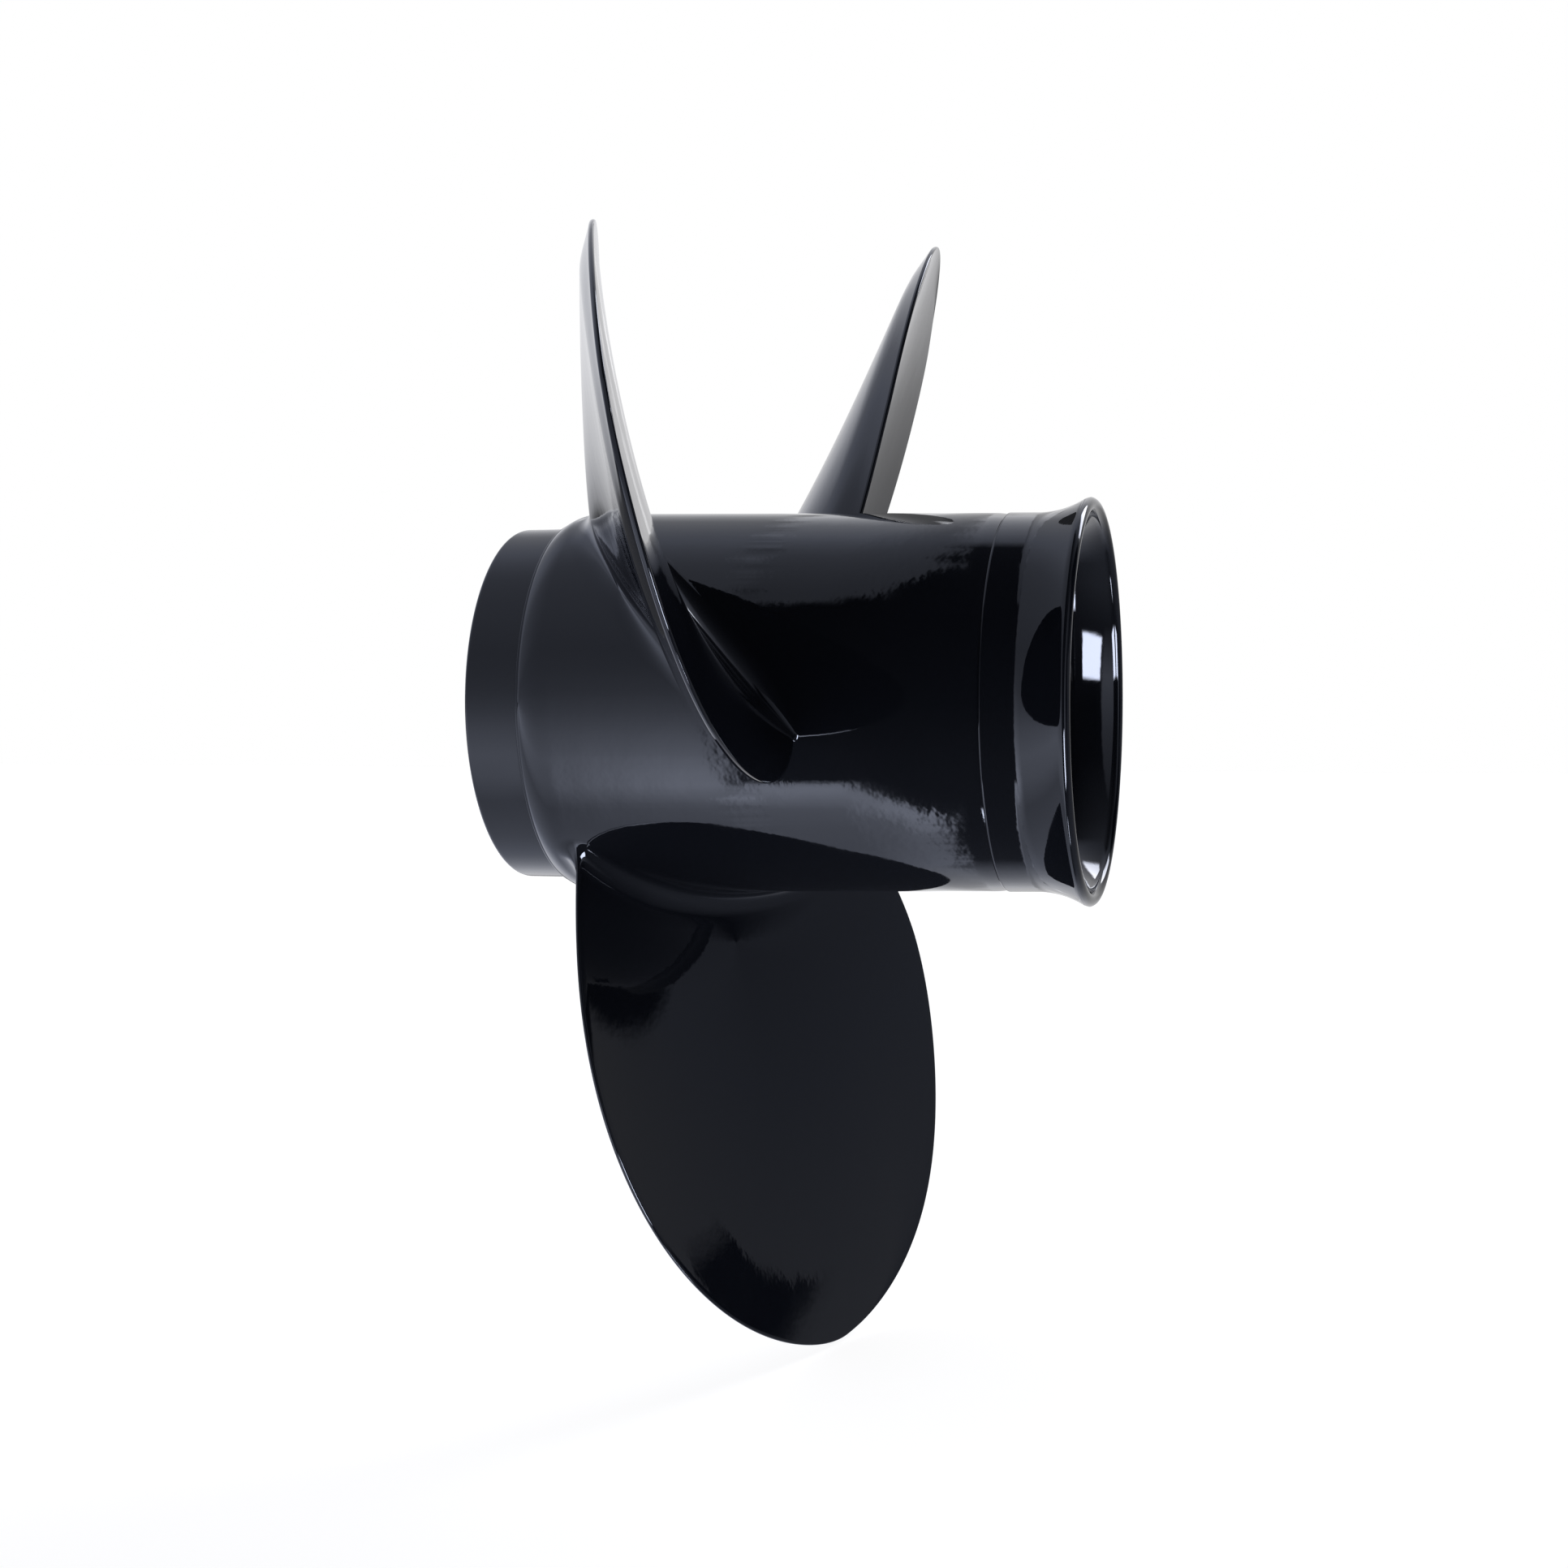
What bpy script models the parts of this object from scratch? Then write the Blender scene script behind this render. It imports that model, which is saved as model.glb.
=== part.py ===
# Three-blade through-hub-exhaust propeller for an outboard motor: the construction model.
# Metres, +Z up. The shaft runs along X: forward, to the gearcase, is -X and aft is +X.
# The origin is on the shaft axis, in the plane of the sleeve's thrust face and the collar's rim.
# Angles round the shaft count from +Z towards -Y.
# The real collar, barrel, flare, inner hub, webs and blades are one aluminium casting. Here each
# is a solid of its own, with a gap of 0.3 mm where the metal runs on. The rubber bush and the
# splined sleeve are separate pieces on the real propeller too.

import math

import bpy
import numpy as np

# Driving dimensions, in metres
TIP_RADIUS = 0.1492            # an 11 3/4 inch propeller
GAP = 0.0003                   # kept between pieces that touch

COLLAR_RADIUS = 0.0394         # machined forward collar, outside
COLLAR_END = 0.0120            # where the collar meets the barrel's shoulder
SHOULDER_RADIUS = 0.0403       # top of the shoulder's rounded corner
BARREL_FRONT_X = 0.0180        # the barrel is widest here and tapers aft
BARREL_FRONT_RADIUS = 0.0426
STEP_X = 0.1108                # shallow groove between barrel and flare
BARREL_AFT_RADIUS = 0.0407
RING_RADIUS = 0.0408           # flare, aft of the groove
FLARE_START_X = 0.1174
LIP_X = 0.1278                 # centre of the rounded lip
LIP_RADIUS = 0.0016
FLARE_RADIUS = 0.0437          # over the lip
FLARE_POWER = 2.1              # how late the flare curls out, outside and inside
MOUTH_POWER = 1.8
PASSAGE_FRONT_RADIUS = 0.0364  # inside of collar and barrel
PASSAGE_AFT_RADIUS = 0.0370
EDGE_BREAK = 0.0008            # chamfers on machined edges

HUB_RADIUS = 0.0245            # inner hub, outside
HUB_BORE = 0.0205              # bore that the bush is pressed into
HUB_FRONT_X = 0.0060
HUB_AFT_X = 0.0960
SLEEVE_RADIUS = 0.0150
SLEEVE_AFT_X = 0.0930
SLEEVE_MOUTH = 0.0120          # cone at the thrust end that seats on the thrust washer
SPLINE_CREST = 0.0098          # tooth tips
SPLINE_ROOT = 0.0111           # groove bottoms
SPLINE_TEETH = 13
BUSH_FRONT_X = 0.0110
BUSH_AFT_X = 0.0900
BUSH_CUP = 0.0012              # the rubber's end faces are dished

WEBS = 3
WEB_THICKNESS = 0.0050
WEB_FRONT_X = 0.0160
WEB_AFT_X = 0.0880

BLADES = 3
PITCH = 0.2542                 # advance in one turn at the root, nominally 10 inches
PITCH_SPAN = 0.0031            # more of it at the tip
PITCH_GROWTH = 0.0193          # how the pitch grows towards the trailing edge
PITCH_EASE = -0.0258           # and how the growth eases at both edges
BLADE_ANGLE = math.radians(69.86)      # first blade's mid-line
BLADE_X = 0.0523                       # its mid-line at the root
RAKE = (0.0768, 0.1706, -0.0930)       # aft lean of the mid-line, a cubic in the height
LEADING = np.radians([51.1, -35.8, 139.7, -266.6, 131.5])      # quartics in the span, root to tip
TRAILING = np.radians([29.3, 37.1, -140.5, 205.5, -91.5])
TIP_SWEEP = math.radians(-0.73)        # turn of the mid-line from root to tip
ROOT_THICKNESS = 0.0061
MIDDLE_BULGE = 0.0020          # extra thickness half-way out
EDGE_THICKNESS = 0.0023
CUP = 0.0006                   # the trailing edge is bent aft over the last fifth of the chord
CUP_START = 0.8
CUP_RISE = 0.3                 # the cup runs out at the tip, and below this share of the height
FILLET = 0.0060                # at the blade root

AROUND = 64                    # facets round the casting
HUB_FACETS = 48
SPAN_ROWS = 11
CHORD_STEPS = 17
CAP_STEPS = 8


def clear_scene():
    for obj in list(bpy.data.objects):
        bpy.data.objects.remove(obj, do_unlink=True)


def new_collection(name):
    made = bpy.data.collections.new(name)
    bpy.context.scene.collection.children.link(made)
    return made


def new_material(name, colour, roughness, metallic):
    made = bpy.data.materials.new(name)
    made.use_nodes = True
    shader = made.node_tree.nodes["Principled BSDF"]
    shader.inputs["Base Color"].default_value = (*colour, 1.0)
    shader.inputs["Roughness"].default_value = roughness
    shader.inputs["Metallic"].default_value = metallic
    return made


def new_object(name, mesh, home, finish=None):
    obj = bpy.data.objects.new(name, mesh)
    home.objects.link(obj)
    if finish:
        mesh.materials.append(finish)
    return obj


def hide_cutter(obj):
    obj.hide_render = True
    obj.display_type = "WIRE"


def turned(name, profile, home, finish=None, steps=AROUND):
    """Turn a closed profile of (x, radius) about the shaft; its outer side runs aft to forward."""
    mesh = bpy.data.meshes.new(name)
    verts = [(radius, 0.0, x) for x, radius in profile]
    edges = [(i, (i + 1) % len(verts)) for i in range(len(verts))]
    mesh.from_pydata(verts, edges, [])
    obj = new_object(name, mesh, home, finish)
    obj.rotation_euler = (0.0, math.pi / 2, 0.0)
    screw = obj.modifiers.new("turn", "SCREW")
    screw.axis = "Z"
    screw.steps = steps
    screw.render_steps = steps
    screw.use_merge_vertices = True
    screw.merge_threshold = 0.00001
    screw.use_smooth_shade = True
    return obj


def boolean(obj, cutter, operation):
    step = obj.modifiers.new(cutter.name, "BOOLEAN")
    step.operation = operation
    step.solver = "EXACT"
    step.object = cutter


def arc(centre, radius, start, end, steps):
    """Points of an arc in the (x, radius) plane; angles in degrees from +x towards outward."""
    points = []
    for k in range(steps + 1):
        angle = math.radians(start + (end - start) * k / steps)
        points.append((centre[0] + radius * math.cos(angle), centre[1] + radius * math.sin(angle)))
    return points


def passage_radius(x):
    """Inside radius of the collar and barrel, which opens a little aft."""
    share = min(max(x / STEP_X, 0.0), 1.0)
    return PASSAGE_FRONT_RADIUS + (PASSAGE_AFT_RADIUS - PASSAGE_FRONT_RADIUS) * share


def barrel_radius(x):
    """Outside radius of the barrel: a rounded shoulder, then a slight taper aft."""
    run = (x - BARREL_FRONT_X) / (STEP_X - BARREL_FRONT_X)
    taper = BARREL_FRONT_RADIUS + (BARREL_AFT_RADIUS - BARREL_FRONT_RADIUS) * run
    if x >= BARREL_FRONT_X:
        return taper
    back = (BARREL_FRONT_X - x) / (BARREL_FRONT_X - COLLAR_END)
    return BARREL_FRONT_RADIUS - (BARREL_FRONT_RADIUS - SHOULDER_RADIUS) * back ** 2


def make_collar(home, finish):
    inner = passage_radius(0.0)
    aft = COLLAR_END - GAP
    profile = [
        (aft, COLLAR_RADIUS),
        (EDGE_BREAK, COLLAR_RADIUS),
        (0.0, COLLAR_RADIUS - EDGE_BREAK),
        (0.0, inner + EDGE_BREAK),
        (EDGE_BREAK, inner),
        (aft, passage_radius(aft)),
    ]
    return turned("register_collar", profile, home, finish)


def make_barrel(home, finish):
    corner = 0.0012
    outer = [(STEP_X - corner / 2, barrel_radius(STEP_X)), (0.060, barrel_radius(0.060))]
    for k in range(4):
        x = BARREL_FRONT_X - (BARREL_FRONT_X - COLLAR_END - corner) * k / 3
        outer.append((x, barrel_radius(x)))
    tip = outer[-1][1]
    profile = [(STEP_X, barrel_radius(STEP_X) - corner / 2)] + outer
    profile += [
        (COLLAR_END + corner * 0.3, tip - corner * 0.5),
        (COLLAR_END, tip - corner * 1.2),
        (COLLAR_END, passage_radius(COLLAR_END)),
        (STEP_X, passage_radius(STEP_X)),
    ]
    return turned("outer_barrel", profile, home, finish)


def make_flare(home, finish):
    front = STEP_X + GAP
    lip_centre = FLARE_RADIUS - LIP_RADIUS
    steps = 5
    outer = []
    for k in range(steps, -1, -1):
        x = FLARE_START_X + (LIP_X - FLARE_START_X) * k / steps
        outer.append((x, RING_RADIUS + (FLARE_RADIUS - RING_RADIUS) * (k / steps) ** FLARE_POWER))
    lip = arc((LIP_X, lip_centre), LIP_RADIUS, -90, 90, 6)
    mouth = lip[0][1]
    inner = []
    for k in range(steps):
        x = FLARE_START_X + (LIP_X - FLARE_START_X) * k / steps
        inner.append((x, PASSAGE_AFT_RADIUS + (mouth - PASSAGE_AFT_RADIUS) * (k / steps) ** MOUTH_POWER))
    profile = outer + [(front + 0.0010, RING_RADIUS), (front, RING_RADIUS - 0.0007)]
    profile += [(front, PASSAGE_AFT_RADIUS)] + inner + lip[:-1]
    return turned("exhaust_flare", profile, home, finish)


def make_inner_hub(home, finish):
    front, aft = HUB_FRONT_X, HUB_AFT_X
    profile = [
        (aft, HUB_RADIUS - EDGE_BREAK),
        (aft - EDGE_BREAK, HUB_RADIUS),
        (front + EDGE_BREAK * 2, HUB_RADIUS),
        (front, HUB_RADIUS - EDGE_BREAK * 2),
        (front, HUB_BORE + EDGE_BREAK),
        (front + EDGE_BREAK, HUB_BORE),
        (aft - EDGE_BREAK, HUB_BORE),
        (aft, HUB_BORE + EDGE_BREAK),
    ]
    return turned("inner_hub", profile, home, finish, HUB_FACETS)


def make_bush(home, finish):
    outer = HUB_BORE - GAP
    inner = SLEEVE_RADIUS + GAP
    middle = (outer + inner) / 2
    profile = [
        (BUSH_AFT_X, outer),
        (BUSH_FRONT_X, outer),
        (BUSH_FRONT_X + BUSH_CUP, middle),
        (BUSH_FRONT_X, inner),
        (BUSH_AFT_X, inner),
        (BUSH_AFT_X - BUSH_CUP, middle),
    ]
    return turned("rubber_bush", profile, home, finish, HUB_FACETS)


def make_spline_cutter(cutters):
    """Thirteen bars that cut the spaces between the spline teeth."""
    width = 0.58 * 2 * math.pi * SPLINE_ROOT / SPLINE_TEETH
    inner = SPLINE_CREST - 0.0012
    reach = SPLINE_ROOT - inner
    margin = 0.005
    length = SLEEVE_AFT_X + 2 * margin
    bars = []
    for k in range(SPLINE_TEETH):
        angle = 2 * math.pi * k / SPLINE_TEETH
        radius = inner + reach / 2
        place = (SLEEVE_AFT_X / 2, -radius * math.sin(angle), radius * math.cos(angle))
        bpy.ops.mesh.primitive_cube_add(size=1.0, location=place, rotation=(angle, 0.0, 0.0))
        bar = bpy.context.object
        bar.scale = (length, width, reach)
        bars.append(bar)
    with bpy.context.temp_override(active_object=bars[0], selected_editable_objects=bars):
        bpy.ops.object.join()
    cutter = bars[0]
    cutter.name = "spline_spaces"
    for home in list(cutter.users_collection):
        home.objects.unlink(cutter)
    cutters.objects.link(cutter)
    hide_cutter(cutter)
    return cutter


def make_sleeve(home, cutters, finish):
    mouth = SLEEVE_MOUTH - SPLINE_CREST
    profile = [
        (SLEEVE_AFT_X, SLEEVE_RADIUS - EDGE_BREAK),
        (SLEEVE_AFT_X - EDGE_BREAK, SLEEVE_RADIUS),
        (EDGE_BREAK, SLEEVE_RADIUS),
        (0.0, SLEEVE_RADIUS - EDGE_BREAK),
        (0.0, SLEEVE_MOUTH),
        (mouth * 1.7, SPLINE_CREST),
        (SLEEVE_AFT_X - EDGE_BREAK * 2, SPLINE_CREST),
        (SLEEVE_AFT_X, SPLINE_CREST + EDGE_BREAK * 2),
    ]
    sleeve = turned("splined_sleeve", profile, home, finish, HUB_FACETS)
    boolean(sleeve, make_spline_cutter(cutters), "DIFFERENCE")
    return sleeve


def make_webs(home, cutters, finish):
    """Radial plates that carry the barrel on the inner hub, trimmed to the passage's section."""
    margin = 0.004
    passage = [
        (STEP_X, PASSAGE_AFT_RADIUS - GAP),
        (0.0, PASSAGE_FRONT_RADIUS - GAP),
        (0.0, HUB_RADIUS + GAP),
        (STEP_X, HUB_RADIUS + GAP),
    ]
    ring = turned("passage_section", passage, cutters)
    hide_cutter(ring)
    length = WEB_AFT_X - WEB_FRONT_X
    reach = PASSAGE_AFT_RADIUS - HUB_RADIUS + 2 * margin
    radius = (PASSAGE_AFT_RADIUS + HUB_RADIUS) / 2
    middle = (WEB_AFT_X + WEB_FRONT_X) / 2
    for k in range(WEBS):
        angle = 2 * math.pi * k / WEBS
        place = (middle, -radius * math.sin(angle), radius * math.cos(angle))
        bpy.ops.mesh.primitive_cube_add(size=1.0, location=place, rotation=(angle, 0.0, 0.0))
        web = bpy.context.object
        web.name = f"web_{k + 1}"
        web.scale = (length, WEB_THICKNESS, reach)
        web.data.materials.append(finish)
        for old in list(web.users_collection):
            old.objects.unlink(web)
        home.objects.link(web)
        boolean(web, ring, "INTERSECT")


def root_radius():
    return (BARREL_FRONT_RADIUS + BARREL_AFT_RADIUS) / 2


def polynomial(factors, span):
    return sum(factor * span ** power for power, factor in enumerate(factors))


def edge_angles(span):
    """The blade's leading and trailing edge, as angles from its mid-line."""
    close = np.cos(np.pi * span / 2)
    sweep = TIP_SWEEP * span ** 4
    return sweep - close * polynomial(LEADING, span), sweep + close * polynomial(TRAILING, span)


def span_radius(span):
    return root_radius() + (TIP_RADIUS - root_radius()) * np.sin(np.pi * span / 2)


def section(span, chord):
    """The pressure face in the unrolled plane of a section: along the shaft, and round it."""
    radius = span_radius(span)
    leading, trailing = edge_angles(span)
    turn = leading + chord * (trailing - leading)
    reach = TIP_RADIUS - root_radius()
    rise = (radius - root_radius()) / reach
    lean = reach * (RAKE[0] * rise + RAKE[1] * rise ** 2 + RAKE[2] * rise ** 3)
    pitch = PITCH + PITCH_SPAN * rise
    advance = (pitch * turn + PITCH_GROWTH * turn ** 2 + PITCH_EASE * turn ** 3) / (2 * np.pi)
    bent = np.clip((chord - CUP_START) / (1 - CUP_START), 0.0, 1.0) ** 2
    cup = CUP * bent * np.minimum(rise / CUP_RISE, 1.0) * (1 - span ** 8)
    return BLADE_X + lean + advance + cup, radius * turn


def edge_line():
    """The whole edge, from the leading root over the tip to the trailing root."""
    spans = np.linspace(-0.06, 1.0, 160)
    leading = [section(s, 0.0) for s in spans]
    trailing = [section(s, 1.0) for s in spans[::-1]]
    heights = np.concatenate([span_radius(spans), span_radius(spans[::-1])])
    return np.column_stack([np.array(leading + trailing), heights])


def chord_places(length):
    """Shares of the chord where a section has points, closer together at the rounded edges."""
    edge = min(0.5 * EDGE_THICKNESS / length, 0.2)
    inner = np.linspace(edge, 1 - edge, CHORD_STEPS - 3)
    return np.concatenate([[0.0, 0.3 * edge], inner, [1 - 0.3 * edge, 1.0]])


def blade_row(span, grow, rim):
    """One closed section, pressure face forward then suction face back, grown by the fillet."""
    radius = span_radius(span)
    first = np.array(section(span, 0.0))
    last = np.array(section(span, 1.0))
    length = max(np.linalg.norm(last - first), 0.0005)
    chord = chord_places(length)
    x, arc_length = section(span, chord)
    rise = (radius - root_radius()) / (TIP_RADIUS - root_radius())
    crown = (ROOT_THICKNESS - EDGE_THICKNESS) * (1 - rise) + MIDDLE_BULGE * 4 * rise * (1 - rise)
    full = EDGE_THICKNESS + crown * (4 * chord * (1 - chord)) ** 0.7
    here = np.column_stack([x, arc_length, np.full_like(x, radius)])
    away = np.sqrt(((here[:, None, :] - rim[None, :, :]) ** 2).sum(axis=2)).min(axis=1)
    inside = np.clip(away / (0.5 * EDGE_THICKNESS), 0.0, 1.0)
    half = 0.5 * full * np.sqrt(1 - (1 - inside) ** 2)
    half[[0, -1]] = 0.0
    turn = arc_length / radius
    advance = PITCH + PITCH_SPAN * rise + 2 * PITCH_GROWTH * turn + 3 * PITCH_EASE * turn ** 2
    slope = np.arctan2(advance, 2 * np.pi * radius)
    normal = np.column_stack([-np.cos(slope), np.sin(slope)])
    middle = np.column_stack([x, arc_length]) + normal * 0.5 * full[:, None]
    pressure = middle - normal * half[:, None]
    suction = middle + normal * half[:, None]
    loop = np.concatenate([pressure, suction[-2:0:-1]])
    if grow > 0:
        along = np.roll(loop, -1, axis=0) - np.roll(loop, 1, axis=0)
        outward = np.column_stack([along[:, 1], -along[:, 0]])
        outward /= np.linalg.norm(outward, axis=1)[:, None]
        loop = loop + outward * grow
    return loop, radius


def unroll_to_space(loop, radius, angle):
    """Wrap a section round the shaft; near the root its radius follows the barrel's shape."""
    share = (radius - root_radius()) / (TIP_RADIUS - root_radius())
    points = []
    for x, along in loop:
        own = radius + (barrel_radius(x) - root_radius()) * (1 - share)
        turn = angle + along / radius
        points.append((x, -own * math.sin(turn), own * math.cos(turn)))
    return points


def blade_spans():
    """Heights above the barrel for the fillet's rows, then spans up to the tip."""
    reach = TIP_RADIUS - root_radius()
    heights = [GAP, FILLET * 0.2, FILLET * 0.5, FILLET]
    low = [2 / np.pi * np.arcsin(h / reach) for h in heights]
    high = list(np.linspace(low[-1], 0.96, SPAN_ROWS)[1:]) + [0.988]
    grow = [FILLET - math.sqrt(max(FILLET ** 2 - (FILLET - h) ** 2, 0.0)) for h in heights]
    return list(zip(low, grow)) + [(s, 0.0) for s in high]


def make_blade(name, angle, home, finish):
    """Sections lofted from the barrel to the tip, with a cap that follows the barrel."""
    rim = edge_line()
    verts = []
    faces = []
    rows = [blade_row(span, grow, rim) for span, grow in blade_spans()]
    count = len(rows[0][0])
    for loop, radius in rows:
        verts += unroll_to_space(loop, radius, angle)
    for r in range(len(rows) - 1):
        for i in range(count):
            j = (i + 1) % count
            faces.append((r * count + i, (r + 1) * count + i, (r + 1) * count + j, r * count + j))
    tip = len(verts)
    tip_loop, tip_radius = blade_row(1.0, 0.0, rim)
    verts += unroll_to_space([tip_loop.mean(axis=0)], tip_radius, angle)
    last = (len(rows) - 1) * count
    for i in range(count):
        faces.append((last + i, tip, last + (i + 1) % count))
    half = count // 2
    loop, radius = rows[0]
    columns = [[0] * (CAP_STEPS + 1)]
    for i in range(1, half):
        a, b = i, count - i
        column = [a]
        for k in range(1, CAP_STEPS):
            mixed = loop[a] + (loop[b] - loop[a]) * k / CAP_STEPS
            column.append(len(verts))
            verts += unroll_to_space([mixed], radius, angle)
        columns.append(column + [b])
    columns.append([half] * (CAP_STEPS + 1))
    for i in range(half):
        for k in range(CAP_STEPS):
            corners = (columns[i][k], columns[i + 1][k], columns[i + 1][k + 1], columns[i][k + 1])
            ring = tuple(dict.fromkeys(corners))
            faces.append(ring)
    mesh = bpy.data.meshes.new(name)
    mesh.from_pydata(verts, [], faces)
    mesh.validate()
    obj = new_object(name, mesh, home, finish)
    mesh.shade_smooth()
    mesh.set_sharp_from_angle(angle=math.radians(50))
    return obj


def make_propeller():
    home = new_collection("outboard_propeller")
    cutters = new_collection("cutters")
    gloss = new_material("gloss_black_paint", (0.012, 0.013, 0.016), 0.08, 0.0)
    satin = new_material("satin_black_paint", (0.030, 0.032, 0.036), 0.42, 0.0)
    rubber = new_material("bush_rubber", (0.020, 0.020, 0.020), 0.75, 0.0)
    brass = new_material("sleeve_brass", (0.68, 0.52, 0.26), 0.32, 1.0)
    make_collar(home, satin)
    make_barrel(home, gloss)
    make_flare(home, gloss)
    make_inner_hub(home, gloss)
    make_bush(home, rubber)
    make_sleeve(home, cutters, brass)
    make_webs(home, cutters, gloss)
    for k in range(BLADES):
        make_blade(f"blade_{k + 1}", BLADE_ANGLE + 2 * math.pi * k / BLADES, home, gloss)


clear_scene()
make_propeller()
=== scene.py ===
# Looks of the outboard-motor propeller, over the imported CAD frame. Metres, +Z up; the shaft runs
# along X, forward is -X and aft is +X. Angles round the shaft count from +Z towards -Y.

import math

import bpy
import numpy as np
from mathutils import Matrix, Vector


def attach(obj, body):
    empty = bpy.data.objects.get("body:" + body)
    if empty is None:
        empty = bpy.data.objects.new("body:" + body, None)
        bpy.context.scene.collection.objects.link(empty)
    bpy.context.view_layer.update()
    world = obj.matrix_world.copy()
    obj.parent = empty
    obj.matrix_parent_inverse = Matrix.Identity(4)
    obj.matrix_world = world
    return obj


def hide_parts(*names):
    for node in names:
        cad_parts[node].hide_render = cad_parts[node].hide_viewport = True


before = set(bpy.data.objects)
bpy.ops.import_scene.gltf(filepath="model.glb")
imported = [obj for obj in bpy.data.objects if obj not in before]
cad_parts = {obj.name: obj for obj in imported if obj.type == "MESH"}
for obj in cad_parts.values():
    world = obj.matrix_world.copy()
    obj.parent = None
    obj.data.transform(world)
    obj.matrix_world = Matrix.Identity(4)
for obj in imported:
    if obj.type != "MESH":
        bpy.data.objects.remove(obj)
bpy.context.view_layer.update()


# Register collar: the forward end of the aluminium casting, turned true on a lathe so that it
# runs into the gearcase, with a broken front edge. It is sprayed with the rest, but the coat
# lies thinner over the machined metal and dries satin.

COLLAR_RADIUS = 0.0394
COLLAR_END = 0.0120            # where the collar meets the barrel's shoulder
FRONT_BREAK = 0.0010           # rounded front edge
BORE_BREAK = 0.0008            # broken edges of bores
PASSAGE_FRONT = 0.0364         # inside of the casting, at the collar and at the flare
PASSAGE_AFT = 0.0370
STEP_X = 0.1108                # shallow groove between barrel and flare
AROUND = 288                   # facets round the casting
DOUBLES = 0.000001             # points closer than this are merged


def linear(hex_colour):
    """An sRGB hex colour as linear RGB and alpha."""
    parts = [int(hex_colour[i:i + 2], 16) / 255 for i in (1, 3, 5)]
    return [c / 12.92 if c <= 0.04045 else ((c + 0.055) / 1.055) ** 2.4 for c in parts] + [1.0]


def add_node(tree, kind, settings=(), inputs=(), links=()):
    """Adds a node: its settings by name, its sockets' values, and links from other sockets."""
    node = tree.nodes.new(kind)
    for name, value in dict(settings).items():
        setattr(node, name, value)
    for name, value in dict(inputs).items():
        node.inputs[name].default_value = value
    for name, source in dict(links).items():
        tree.links.new(source, node.inputs[name])
    return node


def deselect():
    if bpy.context.object and bpy.context.object.mode != "OBJECT":
        bpy.ops.object.mode_set(mode="OBJECT")
    bpy.ops.object.select_all(action="DESELECT")


def arc(x, radius, bend, start, end, steps):
    """Profile points of an arc centred at (x, radius); 0 degrees is aft and 90 is outward."""
    turns = np.radians(np.linspace(start, end, steps + 1))
    return [(x + bend * math.cos(t), radius + bend * math.sin(t)) for t in turns]


def turn_on_shaft(name, profile, around=AROUND):
    """One vertex drawn along a closed (x, radius) profile, then spun round the shaft."""
    deselect()
    bpy.ops.mesh.primitive_plane_add(size=0.001, location=(0.0, 0.0, 0.0))
    piece = bpy.context.object
    piece.name = name
    bpy.ops.object.mode_set(mode="EDIT")
    bpy.ops.mesh.select_all(action="SELECT")
    bpy.ops.mesh.merge(type="CENTER")
    x, radius = profile[0]
    bpy.ops.transform.translate(value=(x, 0.0, radius))
    for next_x, next_radius in profile[1:]:
        bpy.ops.mesh.extrude_vertices_move(
            TRANSFORM_OT_translate={"value": (next_x - x, 0.0, next_radius - radius)})
        x, radius = next_x, next_radius
    bpy.ops.object.mode_set(mode="OBJECT")
    ends = (0, len(piece.data.vertices) - 1)
    for vertex in piece.data.vertices:
        vertex.select = vertex.index in ends
    bpy.ops.object.mode_set(mode="EDIT")
    bpy.ops.mesh.select_mode(type="VERT")
    bpy.ops.mesh.edge_face_add()
    bpy.ops.mesh.select_all(action="SELECT")
    bpy.ops.mesh.spin(steps=around, angle=2 * math.pi, center=(0.0, 0.0, 0.0), axis=(1.0, 0.0, 0.0))
    bpy.ops.mesh.select_all(action="SELECT")
    bpy.ops.mesh.remove_doubles(threshold=DOUBLES)
    bpy.ops.mesh.normals_make_consistent(inside=False)
    bpy.ops.object.mode_set(mode="OBJECT")
    piece.data.name = name
    return piece


def finish_piece(piece, material, slot, *nodes, sharp=35):
    """Smooth shading, its finish, the body it rides on and the CAD nodes that it stands for."""
    deselect()
    piece.select_set(True)
    bpy.context.view_layer.objects.active = piece
    bpy.ops.object.transform_apply(location=True, rotation=True, scale=True)
    bpy.ops.object.shade_smooth_by_angle(angle=math.radians(sharp))
    piece.data.materials.clear()
    piece.data.materials.append(material)
    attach(piece, "root")
    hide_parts(*nodes)


def passage_radius(x):
    """Inside of the casting, which opens a little aft for the draft of its core."""
    return PASSAGE_FRONT + (PASSAGE_AFT - PASSAGE_FRONT) * min(max(x / STEP_X, 0.0), 1.0)


TURNING = 0.00035              # spacing and height of the lathe's rings
TURNING_HEIGHT = 0.0000012
CLOUD_SCALE = 90.0             # patches where the coat dries duller, about 11 mm across

satin = bpy.data.materials.new("thin_enamel_over_turned_metal")
satin.use_nodes = True
coat = satin.node_tree
shader = coat.nodes["Principled BSDF"]
shader.inputs["Base Color"].default_value = linear("#0f1117")
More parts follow.
